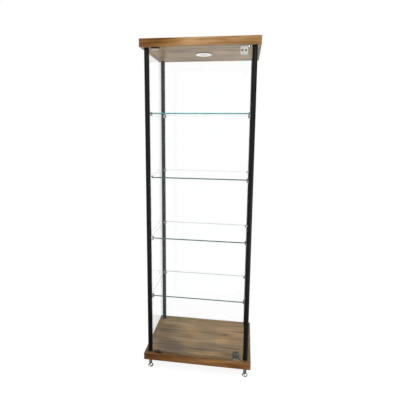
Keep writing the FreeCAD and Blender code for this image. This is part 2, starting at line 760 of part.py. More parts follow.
def trim_ring():
    """Turned ring that frames the lens and covers the edge of the recess."""
    low = CEILING - TRIM_DROP
    seat = low + LENS_THICKNESS
    points = [
        (CAN_RADIUS, CEILING),
        (CAN_RADIUS, seat),
        (LENS_RADIUS, seat),
        (LENS_RADIUS, low),
        (LENS_RADIUS + TRIM_LIP, low),
        (TRIM_RADIUS - TRIM_TAPER, CEILING - TRIM_EDGE),
        (TRIM_RADIUS, CEILING),
    ]
    return turned(points, Vector(0, 0, 0))


def lens():
    """Frosted lens, slightly dished, held in the ring."""
    low = CEILING - TRIM_DROP + LENS_INSET
    top = CEILING - TRIM_DROP + LENS_THICKNESS
    radius = LENS_RADIUS - FIT_CLEARANCE
    points = [
        (0, top),
        (0, low + LENS_DISH),
        (radius - LENS_RIM, low),
        (radius, low),
        (radius, top),
    ]
    return turned(points, Vector(0, 0, 0))


def spotlight_can():
    """Drawn aluminium can that stands on the ring inside the top board."""
    outer = CAN_RADIUS + CAN_WALL
    top = CEILING + CAN_HEIGHT
    points = [
        (CAN_RADIUS, CEILING),
        (outer, CEILING),
        (outer, top - CAN_CORNER),
        (outer - CAN_CORNER, top),
        (0, top),
        (0, top - CAN_WALL),
        (CAN_RADIUS - CAN_INNER_CORNER, top - CAN_WALL),
        (CAN_RADIUS, top - CAN_WALL - CAN_INNER_CORNER),
    ]
    return turned(points, Vector(0, 0, 0))


def led_board():
    """Round circuit board on the can's roof, with a ring of emitters facing down."""
    top = CEILING + CAN_HEIGHT - CAN_WALL
    low = top - LED_BOARD_THICKNESS
    disc = rod(LED_BOARD_RADIUS, UP * low, UP * top)
    half = LED_SIZE / 2
    chip = box(LED_CIRCLE_RADIUS - half, LED_CIRCLE_RADIUS + half, -half, half, low - LED_HEIGHT, low)
    chips = []
    for i in range(LED_COUNT):
        turn = chip.copy()
        turn.rotate(Vector(0, 0, 0), UP, 360.0 * i / LED_COUNT)
        chips.append(turn)
    return disc.fuse(chips)


def spring_clip(side):
    """Bent strip that presses the can against the wall of the recess."""
    root = CAN_RADIUS + CAN_WALL
    back = root + SPRING_SHEET
    wall = LAMP_HOLE_RADIUS - SPRING_WALL_GAP
    slant = SPRING_SLANT_SHEET
    section = [
        (root, SPRING_FOOT),
        (back, SPRING_FOOT),
        (back, SPRING_BEND),
        (wall, SPRING_KNEE),
        (back, SPRING_TIP),
        (back, SPRING_TIP - slant),
        (wall - slant, SPRING_KNEE),
        (root, SPRING_BEND + slant),
    ]
    outline = polygon_face([Vector(side * r, -SPRING_WIDTH / 2, CEILING + z) for r, z in section])
    strip = outline.extrude(Vector(0, SPRING_WIDTH, 0))
    return strip.cut(rod(root, UP * CEILING, UP * CASE_HEIGHT))


def grommet():
    """Closed rubber grommet where the lamp's lead would leave the top board."""
    neck = GROMMET_NECK_RADIUS - FIT_CLEARANCE
    inside = neck - GROMMET_WALL
    rim = GROMMET_RADIUS - FIT_CLEARANCE
    low = CEILING + LAMP_HOLE_DEPTH
    flange = CASE_HEIGHT - GROMMET_FLANGE
    dimple = CASE_HEIGHT - GROMMET_DIMPLE
    membrane = dimple - GROMMET_MEMBRANE
    points = [
        (0, dimple),
        (0, membrane),
        (inside, membrane),
        (inside, low),
        (neck, low),
        (neck, flange),
        (rim, flange),
        (rim, CASE_HEIGHT),
        (neck - GROMMET_DIMPLE_RIM, CASE_HEIGHT),
    ]
    return turned(points, Vector(0, 0, 0))


def post_bolt(corner):
    """Cap-head bolt from the top board into the core of a post."""
    sx, sy = CORNERS[corner]
    seat = Vector(sx * POST_X, sy * POST_Y, CASE_HEIGHT - BOLT_WELL_DEPTH)
    end = seat + UP * POST_BOLT_HEAD
    head = rod(POST_BOLT_HEAD_RADIUS, seat, end)
    shank = rod(POST_BOLT_RADIUS, seat, seat - UP * POST_BOLT_LENGTH)
    body = head.fuse(shank).removeSplitter()
    return body.cut(key_hole(end, -UP, POST_BOLT_KEY))


def cover_cap(corner):
    """Flush cap over a bolt head in the top board."""
    radius = BOLT_WELL_RADIUS - FIT_CLEARANCE
    return post_rod(radius, corner, CASE_HEIGHT - COVER_CAP_THICKNESS, CASE_HEIGHT)


def flange_screws(corner, clearance=0.0):
    """Wood screws that hold a foot's flange to the base board."""
    sx, sy = CORNERS[corner]
    length = FLANGE_THICKNESS + WOOD_SCREW_BITE
    screws = []
    for i in range(FLANGE_SCREWS):
        angle = 2 * math.pi * i / FLANGE_SCREWS + math.atan2(-sy, -sx)
        x = sx * POST_X + FLANGE_SCREW_CIRCLE * math.cos(angle)
        y = sy * POST_Y + FLANGE_SCREW_CIRCLE * math.sin(angle)
        screws.append(wood_screw(Vector(x, y, BASE_BOTTOM), length, clearance))
    return screws


def foot_socket(corner):
    """Sleeve that the foot's stem runs in, with a flange let into the base board."""
    sx, sy = CORNERS[corner]
    bore = STEM_RADIUS + FIT_CLEARANCE
    points = [
        (bore, SLEEVE_BOTTOM),
        (SLEEVE_RADIUS - SLEEVE_CHAMFER, SLEEVE_BOTTOM),
        (SLEEVE_RADIUS, SLEEVE_BOTTOM + SLEEVE_CHAMFER),
        (SLEEVE_RADIUS, BASE_BOTTOM - SLEEVE_FLARE),
        (SLEEVE_RADIUS + SLEEVE_FLARE, BASE_BOTTOM),
        (FLANGE_RADIUS, BASE_BOTTOM),
        (FLANGE_RADIUS, FLANGE_TOP),
        (0, FLANGE_TOP),
        (0, SLEEVE_BORE_TOP),
        (bore, SLEEVE_BORE_TOP),
    ]
    sleeve = turned(points, Vector(sx * POST_X, sy * POST_Y, 0))
    return sleeve.cut(flange_screws(corner, FIT_CLEARANCE))


def foot(corner):
    """Bell-shaped foot with its stem and a recess for the glide."""
    sx, sy = CORNERS[corner]
    shoulder = BELL_TOP - BELL_NECK
    upper = Vector(BELL_TOP_RADIUS, 0, shoulder)
    lower = Vector(BELL_RADIUS, 0, BELL_RIM)
    flank = Part.Arc(upper, (upper + lower) / 2 - Vector(BELL_HOLLOW, 0, 0), lower)
    straight = [
        (BELL_RADIUS, BELL_RIM),
        (BELL_RADIUS - BELL_TAPER, BELL_BOTTOM),
        (GLIDE_RADIUS, BELL_BOTTOM),
        (GLIDE_RADIUS, BELL_BOTTOM + GLIDE_RECESS),
        (0, BELL_BOTTOM + GLIDE_RECESS),
        (0, STEM_TOP),
        (STEM_RADIUS - STEM_CHAMFER, STEM_TOP),
        (STEM_RADIUS, STEM_TOP - STEM_CHAMFER),
        (STEM_RADIUS, BELL_TOP),
        (BELL_TOP_RADIUS, BELL_TOP),
        (BELL_TOP_RADIUS, shoulder),
    ]
    edges = [flank.toShape()]
    for (r0, z0), (r1, z1) in zip(straight, straight[1:]):
        edges.append(Part.LineSegment(Vector(r0, 0, z0), Vector(r1, 0, z1)).toShape())
    solid = Part.Face(Part.Wire(edges)).revolve(Vector(0, 0, 0), UP, 360)
    solid.translate(Vector(sx * POST_X, sy * POST_Y, 0))
    return solid


def foot_glide(corner):
    """Plastic glide under the foot."""
    return post_rod(GLIDE_RADIUS - FIT_CLEARANCE, corner, 0, BELL_BOTTOM + GLIDE_RECESS)


def export(name, shape):
    """Write one node and print what it holds."""
    if not shape.isValid():
        raise ValueError(f"{name} is not a valid shape")
    size = shape.BoundBox
    print(f"{name}: {len(shape.Solids)} solids, z {size.ZMin:.1f} to {size.ZMax:.1f}")
    shape.exportStep(f"parts/{name}.step")


def group(pieces):
    """Separate solids that share one node."""
    return Part.makeCompound(list(pieces))


def pair(pieces):
    """Pieces under the ceiling together with their mirror images on the base board."""
    return group(pieces + [at_bottom(piece) for piece in pieces])


def main():
    os.makedirs("parts", exist_ok=True)
    export("base_board", base_board())
    export("base_edge_bands", edge_bands(BASE_BOTTOM))
    export("top_board", top_board())
    export("top_edge_bands", edge_bands(CEILING))
    for corner in CORNERS:
        export(f"post_{corner}", post(corner))

    for name, side in (("left", -1), ("right", 1)):
        export(f"{name}_glass_pane", side_pane(side))
    export("rear_glass_pane", rear_pane())
    export("pane_gaskets", pane_gaskets())

    clamp = clamp_body()
    levels = shelf_levels()
    for number, level in enumerate(levels, 1):
        export(f"shelf_{number}", shelf(level))
        export(f"shelf_clamps_{number}", group(at_shelf_corner(clamp, c, level) for c in CORNERS))
    clamp_fittings = {
        "shelf_clamp_liners": clamp_liner(),
        "shelf_clamp_bolts": clamp_bolt(),
        "shelf_clamp_grub_screws": clamp_grub(),
    }
    for name, piece in clamp_fittings.items():
        export(name, group(at_shelf_corner(piece, c, level) for level in levels for c in CORNERS))

    export("door_glass", door_glass())
    two_sided = {
        "hinge_plate": hinge_plate(),
        "hinge_clamp": hinge_clamp(),
        "catch_housing": catch_housing(),
        "door_strike": strike(),
    }
    for name, piece in two_sided.items():
        export(f"upper_{name}", piece)
        export(f"lower_{name}", at_bottom(piece))
    export("hinge_pins", pair([hinge_pin()]))
    export("hinge_bushes", pair([hinge_bush()]))
    export("hinge_clamp_liners", pair([hinge_liner()]))
    export("hinge_clamp_screws", pair(jaw_screws()))
    export("hinge_plate_screws", pair(hinge_screws()))
    export("catch_magnets", pair([catch_magnet()]))
    export("catch_pole_plates", pair(catch_poles()))
    export("catch_screws", pair(catch_screws()))
    export("catch_buffers", pair([buffer()]))

    export("spotlight_trim_ring", trim_ring())
    export("spotlight_lens", lens())
    export("spotlight_can", spotlight_can())
    export("spotlight_led_board", led_board())
    export("spotlight_spring_clips", group(spring_clip(side) for side in (-1, 1)))
    export("lamp_lead_grommet", grommet())

    export("post_top_bolts", group(post_bolt(c) for c in CORNERS))
    export("post_base_bolts", group(at_bottom(post_bolt(c)) for c in CORNERS))
    export("bolt_cover_caps", group(cover_cap(c) for c in CORNERS))
    export("foot_sockets", group(foot_socket(c) for c in CORNERS))
    export("foot_socket_screws", group(s for c in CORNERS for s in flange_screws(c)))
    for corner in CORNERS:
        export(f"foot_{corner}", foot(corner))
        export(f"foot_glide_{corner}", foot_glide(corner))


main()
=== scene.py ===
import json
import math

import bpy
from mathutils import Matrix, Vector

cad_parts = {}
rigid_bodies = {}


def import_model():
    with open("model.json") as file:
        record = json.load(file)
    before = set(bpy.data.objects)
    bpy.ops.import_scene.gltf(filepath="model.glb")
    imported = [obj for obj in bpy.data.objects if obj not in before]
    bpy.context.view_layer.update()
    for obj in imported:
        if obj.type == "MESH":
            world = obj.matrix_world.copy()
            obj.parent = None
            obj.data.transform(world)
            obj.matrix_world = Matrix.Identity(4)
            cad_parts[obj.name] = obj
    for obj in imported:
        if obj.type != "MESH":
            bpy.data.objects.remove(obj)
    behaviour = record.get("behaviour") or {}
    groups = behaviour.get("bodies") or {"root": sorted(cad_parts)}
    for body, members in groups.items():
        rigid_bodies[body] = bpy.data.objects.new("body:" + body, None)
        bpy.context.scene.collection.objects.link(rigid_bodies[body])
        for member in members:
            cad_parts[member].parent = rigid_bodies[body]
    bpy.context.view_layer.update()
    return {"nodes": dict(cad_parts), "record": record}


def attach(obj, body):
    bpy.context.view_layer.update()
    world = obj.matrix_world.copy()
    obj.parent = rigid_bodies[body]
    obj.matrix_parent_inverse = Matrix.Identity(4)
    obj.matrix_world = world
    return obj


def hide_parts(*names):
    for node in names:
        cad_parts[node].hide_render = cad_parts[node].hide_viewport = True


for leftover in list(bpy.data.objects):
    bpy.data.objects.remove(leftover)
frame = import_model()
nodes = frame["nodes"]

# Camera, found by fitting the boards, posts and shelves of the case to the photograph: its place in
# metres, its turns in degrees, and its focal length and centre as shares of the image's width
IMAGE_PIXELS = 400
CAMERA_PLACE = (0.23806, -1.89194, 1.36184)
CAMERA_YAW = -8.0217
CAMERA_PITCH = -8.6058
CAMERA_ROLL = 0.4904
CAMERA_FOCAL = 337.308 / IMAGE_PIXELS
CAMERA_CENTRE = (197.632 / IMAGE_PIXELS, 179.659 / IMAGE_PIXELS)
CAMERA_CLIP = (0.05, 100.0)
SENSOR_MM = 36.0

# Levels in the case, in metres
BASE_MIDDLE = 0.078
BASE_TOP = 0.098
CEILING = 1.760
TOP_MIDDLE = 1.780

# Values between which most of a noise lies
NOISE_SPAN = (0.3, 0.7)


class Shader:
    """The node tree of a material or a world, with short calls that add and join nodes."""

    def __init__(self, owner):
        owner.use_nodes = True
        self.owner = owner
        self.is_world = isinstance(owner, bpy.types.World)
        self.tree = owner.node_tree
        self.tree.nodes.clear()

    def add(self, kind, inputs=None, **settings):
        """New node; an input given as a socket is linked, and any other value is set."""
        node = self.tree.nodes.new(kind)
        for key, value in settings.items():
            setattr(node, key, value)
        for key, value in (inputs or {}).items():
            socket = node.inputs[key]
            if isinstance(value, bpy.types.NodeSocket):
                self.tree.links.new(value, socket)
            else:
                socket.default_value = (*value, 1) if socket.type == "RGBA" else value
        return node

    def place(self):
        """Point on the piece, in the shared frame at rest."""
        return self.add("ShaderNodeTexCoord").outputs["Object"]

    def facing(self):
        """Direction that the surface faces, in the shared frame at rest."""
        return self.add("ShaderNodeTexCoord").outputs["Normal"]

    def stretched(self, point, scale):
        """Point scaled along each axis."""
        return self.add("ShaderNodeMapping", {"Vector": point, "Scale": scale}).outputs["Vector"]

    def noise(self, point, scale=1.0, detail=2.0, roughness=0.5):
        inputs = {"Vector": point, "Scale": scale, "Detail": detail, "Roughness": roughness}
        return self.add("ShaderNodeTexNoise", inputs).outputs["Fac"]

    def math(self, operation, *values):
        return self.add("ShaderNodeMath", dict(enumerate(values)), operation=operation).outputs[0]

    def ranged(self, value, low, high, to_low, to_high, kind="LINEAR"):
        """Value moved from one range to another, held at the ends."""
        inputs = {
            "Value": value,
            "From Min": low,
            "From Max": high,
            "To Min": to_low,
            "To Max": to_high,
        }
        return self.add("ShaderNodeMapRange", inputs, interpolation_type=kind).outputs["Result"]

    def spread(self, noise, low, high):
        """Noise moved to a range."""
        return self.ranged(noise, *NOISE_SPAN, low, high)

    def near(self, point, place, reach):
        """1 at a place, falling softly to 0 at its reach along each axis."""
        inputs = {
            "Vector": point,
            "Location": [-p / r for p, r in zip(place, reach)],
            "Scale": [1 / r for r in reach],
        }
        offset = self.add("ShaderNodeMapping", inputs).outputs["Vector"]
        return self.ranged(self.length(offset), 0.0, 1.0, 1.0, 0.0, "SMOOTHSTEP")

    def length(self, vector):
        return self.add("ShaderNodeVectorMath", {0: vector}, operation="LENGTH").outputs["Value"]

    def ramp(self, value, positions, colours):
        """Colour ramp through colours at positions."""
        node = self.add("ShaderNodeValToRGB", {"Fac": value})
        elements = node.color_ramp.elements
        while len(elements) < len(positions):
            elements.new(0.5)
        for element, position, colour in zip(elements, positions, colours):
            element.position = position
            element.color = (*colour, 1)
        return node.outputs["Color"]

    def mix(self, factor, first, second, blend="MIX"):
        """Two colours mixed by a factor."""
        inputs = {0: factor, 6: first, 7: second}
        return self.add("ShaderNodeMix", inputs, data_type="RGBA", blend_type=blend).outputs[2]

    def tinted(self, colour, cast):
        """Colour multiplied by another."""
        return self.mix(1.0, colour, cast, "MULTIPLY")

    def shaded(self, colour, level):
        """Colour multiplied by a level."""
        return self.tinted(colour, self.joined(level, level, level))

    def parts(self, vector):
        """X, Y and Z of a vector."""
        return self.add("ShaderNodeSeparateXYZ", {"Vector": vector}).outputs

    def joined(self, x, y, z):
        return self.add("ShaderNodeCombineXYZ", {"X": x, "Y": y, "Z": z}).outputs[0]

    def bump(self, height, strength, distance):
        inputs = {"Height": height, "Strength": strength, "Distance": distance}
        return self.add("ShaderNodeBump", inputs).outputs["Normal"]

    def surface(self, **inputs):
        """Principled shader; an underscore in a name stands for a space."""
        named = {key.replace("_", " "): value for key, value in inputs.items()}
        return self.add("ShaderNodeBsdfPrincipled", named).outputs["BSDF"]

    def glow(self, colour, strength=1.0):
        """Light of a surface, or of the world."""
        kind = "ShaderNodeBackground" if self.is_world else "ShaderNodeEmission"
        return self.add(kind, {"Color": colour, "Strength": strength}).outputs[0]

    def blend(self, factor, first, second):
        """Two shaders mixed by a factor."""
        return self.add("ShaderNodeMixShader", {0: factor, 1: first, 2: second}).outputs[0]

    def ray(self, kind):
        """1 for rays of one kind, such as camera rays, and 0 for others."""
        return self.add("ShaderNodeLightPath").outputs[f"Is {kind} Ray"]

    def by_ray(self, seen, mirrored, lit):
        """One shader for the camera and through glass, one for mirrors and one for the rest."""
        in_sight = self.math("MAXIMUM", self.ray("Camera"), self.ray("Transmission"))
        return self.blend(in_sight, self.blend(self.ray("Glossy"), lit, mirrored), seen)

    def done(self, shader):
        """The owner, with the shader on it."""
        kind = "ShaderNodeOutputWorld" if self.is_world else "ShaderNodeOutputMaterial"
        self.add(kind, {"Surface": shader})
        return self.owner


def material(name):
    return Shader(bpy.data.materials.new(name))


# Walnut: noise steps in a metre along the grain, across it and up
SWAY_STEPS = (2.2, 6.0, 9.0)
PATCH_STEPS = (4.5, 12.0, 18.0)
STREAK_STEPS = (5.0, 80.0, 120.0)
THREAD_STEPS = (6.0, 230.0, 260.0)
FIBRE_STEPS = (14.0, 600.0, 600.0)
PORE_STEPS = (42.0, 1500.0, 1500.0)
WARMTH_STEPS = (2.6, 7.0, 9.0)
SWAY_WIDTH = 0.045
SWAY_RISE = 0.4
KNOT_REACH = (0.08, 0.03, 0.05)
KNOT_BEND = 0.75
PATCH_SHARE = 0.8
TONE_LIFT = 0.1
TONE_STOPS = (0.1, 0.3, 0.5, 0.7, 0.9)
THREAD_SPAN = (0.56, 0.68)
THREAD_SHARE = 0.6
THREADED_PATCHES = (0.4, 0.6, 0.2, 1.0)
FIBRE_SHADES = (0.9, 1.1)
WARM_SPAN = (0.4, 0.62)
WARM_SHARE = 0.8
WARM_CAST = (1.08, 0.98, 0.82)
PORE_SPAN = (0.6, 0.72)
PORE_SHARE = 0.35
PORE_DEPTH = 1.5
SATIN = (0.32, 0.44)
WALNUT_TONES = (
    (0.060, 0.036, 0.018),
    (0.145, 0.093, 0.046),
    (0.230, 0.155, 0.083),
    (0.295, 0.212, 0.125),
    (0.360, 0.275, 0.180),
)
EDGING_TONES = (
    (0.06, 0.022, 0.005),
    (0.15, 0.062, 0.014),
    (0.25, 0.125, 0.040),
    (0.35, 0.205, 0.090),
    (0.45, 0.290, 0.150),
)


def on_level(level, depth, *spots):
    """Spots of a level face, with its level in their places and a depth in their reaches."""
    return [((*place, level), (*reach, depth), value) for place, reach, value in spots]


# Darker and paler places of the base's top and of the ceiling: place, reach and step
KNOT_PLACE = (0.144, 0.042)
BASE_KNOT = (*KNOT_PLACE, BASE_TOP)
BASE_DEPTH = 0.05
CEILING_DEPTH = 0.03
BOARD_STEPS_AND_PAINTED_LIGHT = on_level(
    BASE_TOP,
    BASE_DEPTH,
    ((-0.220, 0.045), (0.085, 0.011), -0.30),
    ((-0.230, 0.088), (0.070, 0.010), -0.18),
    (KNOT_PLACE, (0.026, 0.011), -0.38),
    ((0.235, 0.088), (0.080, 0.012), -0.30),
    ((0.120, -0.025), (0.090, 0.045), 0.18),
    ((0.200, 0.062), (0.060, 0.010), 0.14),
    ((0.160, -0.085), (0.150, 0.008), -0.20),
    ((0.100, -0.118), (0.120, 0.007), -0.18),
    ((0.030, 0.088), (0.070, 0.007), -0.20),
    ((0.078, 0.040), (0.040, 0.007), -0.20),
    ((-0.150, -0.110), (0.170, 0.055), -0.29),
    ((-0.190, -0.070), (0.140, 0.030), -0.26),
    ((-0.130, -0.152), (0.150, 0.026), -0.24),
    ((0.020, -0.115), (0.120, 0.050), -0.38),
    ((0.130, -0.130), (0.120, 0.060), -0.10),
    ((-0.200, 0.020), (0.160, 0.160), -0.26),
    ((0.000, 0.030), (0.100, 0.050), 0.10),
    ((0.000, -0.190), (0.900, 0.060), -0.20),
    ((0.000, 0.000), (1.500, 1.500), -0.11),
) + on_level(
    CEILING,
    CEILING_DEPTH,
    ((0.000, 0.000), (1.500, 1.500), 0.01),
    # Paler strip along the ceiling's front edge: painted light
    ((0.000, -0.164), (1.200, 0.040), 0.34),
    ((-0.140, -0.080), (0.150, 0.060), -0.36),
    ((-0.110, 0.150), (0.170, 0.100), -0.36),
    # Darker band behind it: painted shade of the door's top edge
    ((0.160, -0.085), (0.260, 0.050), -0.26),
    ((0.000, 0.080), (0.050, 0.120), -0.06),
    ((0.100, -0.030), (0.070, 0.100), 0.20),
    ((0.200, 0.040), (0.080, 0.120), 0.16),
)
# Warmer and cooler places: place, reach and a colour that multiplies the wood's
BOARD_CASTS = on_level(
    BASE_TOP,
    BASE_DEPTH,
    ((0.000, 0.000), (1.500, 1.500), (1.00, 0.97, 0.83)),
    ((-0.240, 0.080), (0.140, 0.150), (1.03, 0.98, 0.80)),
    ((-0.100, -0.100), (0.150, 0.050), (0.98, 0.98, 1.00)),
    ((0.130, -0.020), (0.110, 0.050), (1.07, 0.98, 0.97)),
    ((0.050, -0.170), (0.350, 0.055), (1.07, 0.97, 0.80)),
) + on_level(
    CEILING,
    CEILING_DEPTH,
    ((-0.130, 0.000), (0.330, 0.380), (1.00, 0.93, 0.52)),
    ((0.100, 0.000), (0.080, 0.140), (1.06, 0.98, 1.02)),
)
# Darker and paler places of the front strips: place, reach and step. The top strip is paler and the
# base strip darker all over, painted light and shade for light from above; the darker left ends are
# partly painted shade and partly the wood's figure.
EDGING_STEPS_AND_PAINTED_LIGHT = (
    ((0.000, -0.200, TOP_MIDDLE), (3.000, 3.000, 0.30), 0.10),
    ((0.010, -0.200, TOP_MIDDLE), (0.220, 0.500, 0.10), 0.12),
    ((-0.260, -0.200, TOP_MIDDLE), (0.200, 0.500, 0.10), -0.30),
    ((0.200, -0.200, TOP_MIDDLE), (0.160, 0.500, 0.10), -0.07),
    ((0.000, -0.200, BASE_MIDDLE), (3.000, 3.000, 0.30), -0.08),
    ((-0.280, -0.200, BASE_MIDDLE), (0.220, 0.500, 0.10), -0.20),
)


def walnut(name, tones, marks, figure, casts=(), edging=False, knot=None):
    """Walnut laminate with grain along X. Tones run from dark to pale, figure is the strength of
    the streaks, and each mark is a place, its reach along each axis and a step to dark (below 0)
    or pale; some marks are painted light and shade. Casts are places and reaches in the same way,
    with a colour that multiplies."""
    s = material(name)
    rest = point = s.place()
    if edging:
        # The strips at the sides of a board run along Y, and so does their grain
        x, y, z = s.parts(rest)
        sideways = s.math("GREATER_THAN", s.math("ABSOLUTE", s.parts(s.facing())[0]), 0.5)
        inputs = {0: sideways, 4: rest, 5: s.joined(y, x, z)}
        point = s.add("ShaderNodeMix", inputs, data_type="VECTOR").outputs[1]
    x, y, z = s.parts(point)
    sway = s.math("SUBTRACT", s.noise(s.stretched(point, SWAY_STEPS)), 0.5)
    drift = s.math("MULTIPLY", sway, SWAY_WIDTH)
    across = s.math("ADD", y, drift)
    upright = s.math("ADD", z, s.math("MULTIPLY", drift, SWAY_RISE))
    if knot:
        # Grain runs round the knot
        bend = s.math("MULTIPLY", s.near(rest, knot, KNOT_REACH), KNOT_BEND)
        aside = s.math("SUBTRACT", y, knot[1])
        across = s.math("SUBTRACT", across, s.math("MULTIPLY", aside, bend))
    grain = s.joined(x, across, upright)
    patches = s.noise(s.stretched(point, PATCH_STEPS))
    streaks = s.noise(s.stretched(grain, STREAK_STEPS), detail=3.0, roughness=0.6)
    threads = s.noise(s.stretched(grain, THREAD_STEPS))
    fibres = s.noise(s.stretched(grain, FIBRE_STEPS))
    pores = s.noise(s.stretched(grain, PORE_STEPS), detail=1.0)
    warmth = s.noise(s.stretched(point, WARMTH_STEPS), detail=1.0)
    streaked = s.math("MULTIPLY", streaks, figure)
    tone = s.math("ADD", s.math("MULTIPLY", patches, PATCH_SHARE), streaked)
    tone = s.math("SUBTRACT", tone, figure / 2 - TONE_LIFT)
    for place, reach, step in marks:
        tone = s.math("ADD", tone, s.math("MULTIPLY", s.near(rest, place, reach), step))
    tint = s.ramp(tone, TONE_STOPS, tones)
    threaded = s.ranged(threads, *THREAD_SPAN, 0.0, THREAD_SHARE)
    threaded = s.math("MULTIPLY", threaded, s.ranged(patches, *THREADED_PATCHES))
    tint = s.mix(threaded, tint, tones[0])
    tint = s.shaded(tint, s.spread(fibres, *FIBRE_SHADES))
    warm = s.ranged(warmth, *WARM_SPAN, 0.0, WARM_SHARE)
    tint = s.mix(warm, tint, s.tinted(tint, WARM_CAST))
    for place, reach, cast in casts:
        tint = s.mix(s.near(rest, place, reach), tint, s.tinted(tint, cast))
    pitted = s.ranged(pores, *PORE_SPAN, 0.0, PORE_SHARE)
    relief = s.math("SUBTRACT", fibres, s.math("MULTIPLY", pitted, PORE_DEPTH))
    wood = s.surface(
        Base_Color=s.mix(pitted, tint, tones[0]),
        Roughness=s.spread(fibres, *SATIN),
        Specular_IOR_Level=0.2,
        Normal=s.bump(relief, 0.25, 0.0002),
    )
    return s.done(wood)


# Glass, and the tones of its cut edges from the middle of the sheet to its faces
CLEAR_TINT = (0.997, 1.0, 0.999)
SHADOW_TINT = (0.96, 0.98, 0.97)
WIPE_STEPS = (5.0, 5.0, 2.0)
WIPE_ROUGHNESS = (0.45, 0.75, 0.0, 0.03)
EDGE_STOPS = (0.1, 1.0)
EDGE_CLOUD_STEPS = (9.0, 9.0, 60.0)
EDGE_CLOUD = 0.25
REAR_EDGE_SHARE = 0.14
SHELF_EDGES = {
    "axis": 2,
    "middle": 0.433,
    "spacing": 0.335,
    "half": 0.003,
    "tones": ((0.004, 0.030, 0.029), (0.020, 0.094, 0.090)),
    # Above this level the cut edges are paler: painted light
    "level": 1.3,
    "upper_painted_light_tones": ((0.012, 0.095, 0.100), (0.050, 0.290, 0.300)),
}
DOOR_EDGES = {
    "axis": 1,
    "middle": -0.180,
    "spacing": 1.0,
    "half": 0.0025,
    "tones": ((0.11, 0.11, 0.09), (0.31, 0.30, 0.25)),
}


def glass(name, bend, coat, edges=None):
    """Clear glass that lamps shine through, with its refractive index and the weight of a polished
    coat; edges is what cut_edges() takes, for sheets whose cut edges show."""
    s = material(name)
    wiped = s.noise(s.stretched(s.place(), WIPE_STEPS), 3.0, detail=4.0, roughness=0.6)
    clear = s.surface(
        Base_Color=CLEAR_TINT,
        Roughness=s.ranged(wiped, *WIPE_ROUGHNESS),
        Transmission_Weight=1.0,
        IOR=bend,
        Coat_Weight=coat,
    )
    open_way = s.add("ShaderNodeBsdfTransparent", {"Color": SHADOW_TINT}).outputs[0]
    pane = s.blend(s.ray("Shadow"), clear, open_way)
    if edges:
        pane = cut_edges(s, pane, **edges)
    return s.done(pane)


def cut_edges(s, pane, axis, middle, spacing, half, tones, level=None, upper_painted_light_tones=None):
    """Pane with cut edges. The sheets lie across an axis at a spacing, with the middle of one and
    their half thickness given, and above a level the edges have paler tones, painted light."""
    point = s.place()
    facing = s.parts(s.facing())
    rim = s.math("LESS_THAN", s.math("ABSOLUTE", facing[axis]), 0.9)
    # Cut edges at the back catch less light and show less
    rim = s.math("MULTIPLY", rim, s.ranged(facing[1], 0.5, 0.9, 1.0, REAR_EDGE_SHARE))
    steps = s.math("DIVIDE", s.math("SUBTRACT", s.parts(point)[axis], middle), spacing)
    off = s.math("ABSOLUTE", s.math("SUBTRACT", steps, s.math("ROUND", steps)))
    cloud = s.noise(s.stretched(point, EDGE_CLOUD_STEPS))
    depth = s.math("MULTIPLY", off, spacing / half)
    depth = s.math("ADD", depth, s.spread(cloud, -EDGE_CLOUD, EDGE_CLOUD))
    tint = s.ramp(depth, EDGE_STOPS, tones)
    if upper_painted_light_tones:
        above = s.math("GREATER_THAN", s.parts(point)[2], level)
        tint = s.mix(above, tint, s.ramp(depth, EDGE_STOPS, upper_painted_light_tones))
    cut = s.surface(Base_Color=tint, Roughness=0.15, Specular_IOR_Level=0.3)
    return s.blend(rim, pane, cut)


EVEN = (1.0, 1.0, 1.0)


def metal(name, colour, rough, steps, stretch=EVEN, painted_gap_shade=None):
    """Metal whose polish and tone vary a little, with its roughness range and noise steps in a
    metre; the last argument, if given, paints the faces turned down (-1) or up (1) with a colour of
    painted shade."""
    s = material(name)
    point = s.stretched(s.place(), stretch)
    worn = s.noise(point, steps, detail=4.0, roughness=0.6)
    tint = s.shaded(colour, s.spread(worn, 0.94, 1.04))
    # Painted shade: faces turned one way get the shade's colour
    if painted_gap_shade:
        way, shade = painted_gap_shade
        level = s.math("MULTIPLY", s.parts(s.facing())[2], way)
        tint = s.mix(s.math("GREATER_THAN", level, 0.3), tint, shade)
    shell = s.surface(
        Base_Color=tint,
        Metallic=1.0,
        Roughness=s.spread(worn, *rough),
        Normal=s.bump(s.noise(point, steps * 6), 0.04, 0.0001),
    )
    return s.done(shell)


def plain(name, dark, light, rough, steps, relief=0.15, gloss=0.5, stretch=EVEN):
    """Plastic, rubber or black coating with a moulded grain: its tones, roughness range and grain
    steps in a metre."""
    s = material(name)
    point = s.stretched(s.place(), stretch)
    mottle = s.noise(point, steps * 0.1, detail=3.0, roughness=0.6)
    grain = s.noise(point, steps, detail=3.0, roughness=0.6)
    shell = s.surface(
        Base_Color=s.ramp(mottle, NOISE_SPAN, (dark, light)),
        Roughness=s.spread(grain, *rough),
        Specular_IOR_Level=gloss,
        Normal=s.bump(grain, relief, 0.0002),
    )
    return s.done(shell)


# Spotlight
# Above this level the trim ring is painted dark: painted shade where it meets the ceiling
SHADOW_GAP_LEVEL = 1.7567
PAINT_TONES = ((0.69, 0.685, 0.65), (0.75, 0.745, 0.71))
SHADOW_GAP_TONES = ((0.02, 0.018, 0.016), (0.035, 0.03, 0.026))
LENS_TONES = ((0.45, 0.46, 0.42), (0.78, 0.75, 0.68))
LENS_STOPS = (0.1, 1.0)
LENS_SPREAD = (0.012, 0.034)
LENS_RINGS = 2600.0


